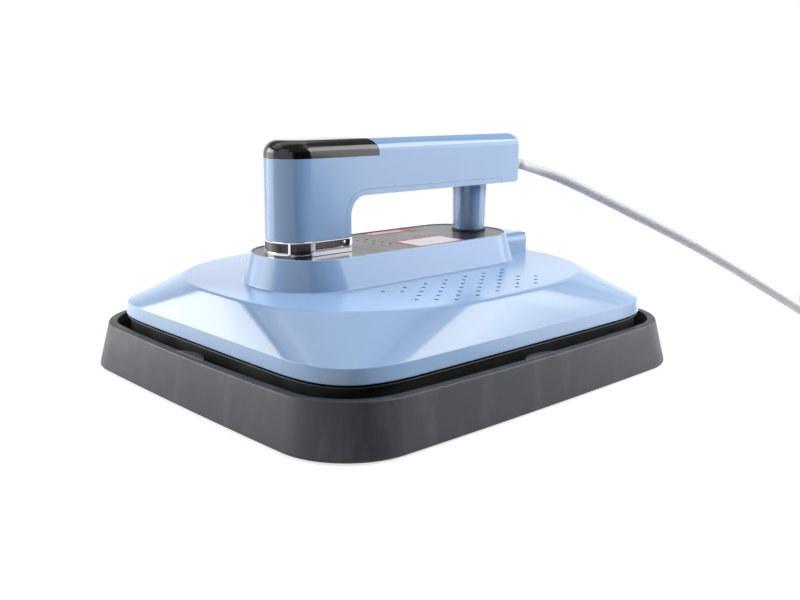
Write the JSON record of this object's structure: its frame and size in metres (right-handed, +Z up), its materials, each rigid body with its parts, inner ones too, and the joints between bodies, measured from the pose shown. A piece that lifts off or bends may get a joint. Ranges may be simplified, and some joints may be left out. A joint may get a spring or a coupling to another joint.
{
  "type": "handheld heat press",
  "caption": "Handheld iron-on press: flat heated plate under a domed plastic cover, closed loop handle with control end and rear post, resting in an insulated tray, with mains cord.",
  "frame": {"origin": "on the floor under the middle of the resting tray", "axes": "+X along the handle from its control end to its cord end, +Z up"},
  "size_m": [0.6469, 0.4591, 0.1654],
  "materials": {
    "blue_plastic": "gloss",
    "tray_plastic": "satin",
    "black_gloss": "gloss",
    "black_plastic": "satin",
    "rocker_black": "satin",
    "rubber_dark": "matte",
    "mat_silicone": "matte",
    "chrome": "polished",
    "plate_aluminium": "satin",
    "plate_coat": "satin",
    "steel": "satin",
    "insulation": "matte",
    "board_green": "satin",
    "display_dark": "gloss",
    "nylon_white": "satin",
    "component_yellow": "satin",
    "component_can": "satin",
    "lead_sleeve": "satin",
    "brass_tin": "satin",
    "pin_metal": "satin",
    "cord_grey": "satin"
  },
  "bodies": {
    "base": {"base_tray": "tray_plastic", "base_feet": "rubber_dark", "tray_mat": "mat_silicone", "rest_pads": "rubber_dark", "mains_cord": "cord_grey", "cord_coil": "cord_grey", "plug": "cord_grey", "plug_pins": "pin_metal"},
    "press": {"board_posts": "nylon_white", "buzzer": "black_plastic", "capacitor": "component_can", "chrome_collar": "chrome", "control_cap": "black_gloss", "cord_clamp": "black_plastic", "cover_screws": "steel", "deck_panel": "black_gloss", "display_board": "board_green", "display_cable": "lead_sleeve", "display_module": "display_dark", "fuse": "black_plastic", "handle_liner": "blue_plastic", "handle_pillar": "black_plastic", "handle_screws": "steel", "handle_shell": "blue_plastic", "heat_shield": "steel", "heat_skirt": "black_plastic", "heater_leads": "lead_sleeve", "heating_element": "steel", "heating_plate": "plate_aluminium", "insulation_pad": "insulation", "main_board": "board_green", "mains_lead": "lead_sleeve", "plate_coating": "plate_coat", "plate_screws": "steel", "post_gasket": "rubber_dark", "rear_post": "blue_plastic", "relay": "black_plastic", "standoffs": "steel", "strain_relief": "cord_grey", "switch_housing": "black_plastic", "switch_terminals": "brass_tin", "temperature_sensor": "steel", "terminal_block": "black_plastic", "thermal_cutout": "steel", "top_cover": "blue_plastic", "transformer": "component_yellow"},
    "rocker": {"power_rocker": "rocker_black"}
  },
  "joints": [
    {"name": "press_lift", "type": "slide", "parent": "base", "child": "press", "axis": [0, 0, 1], "range_m": [0, 0.045]},
    {"name": "power_rocker", "type": "hinge", "parent": "press", "child": "rocker", "pos_m": [0.1355, 0, 0.0775], "axis": [0, 1, 0], "range_deg": [0, 24]}
  ]
}
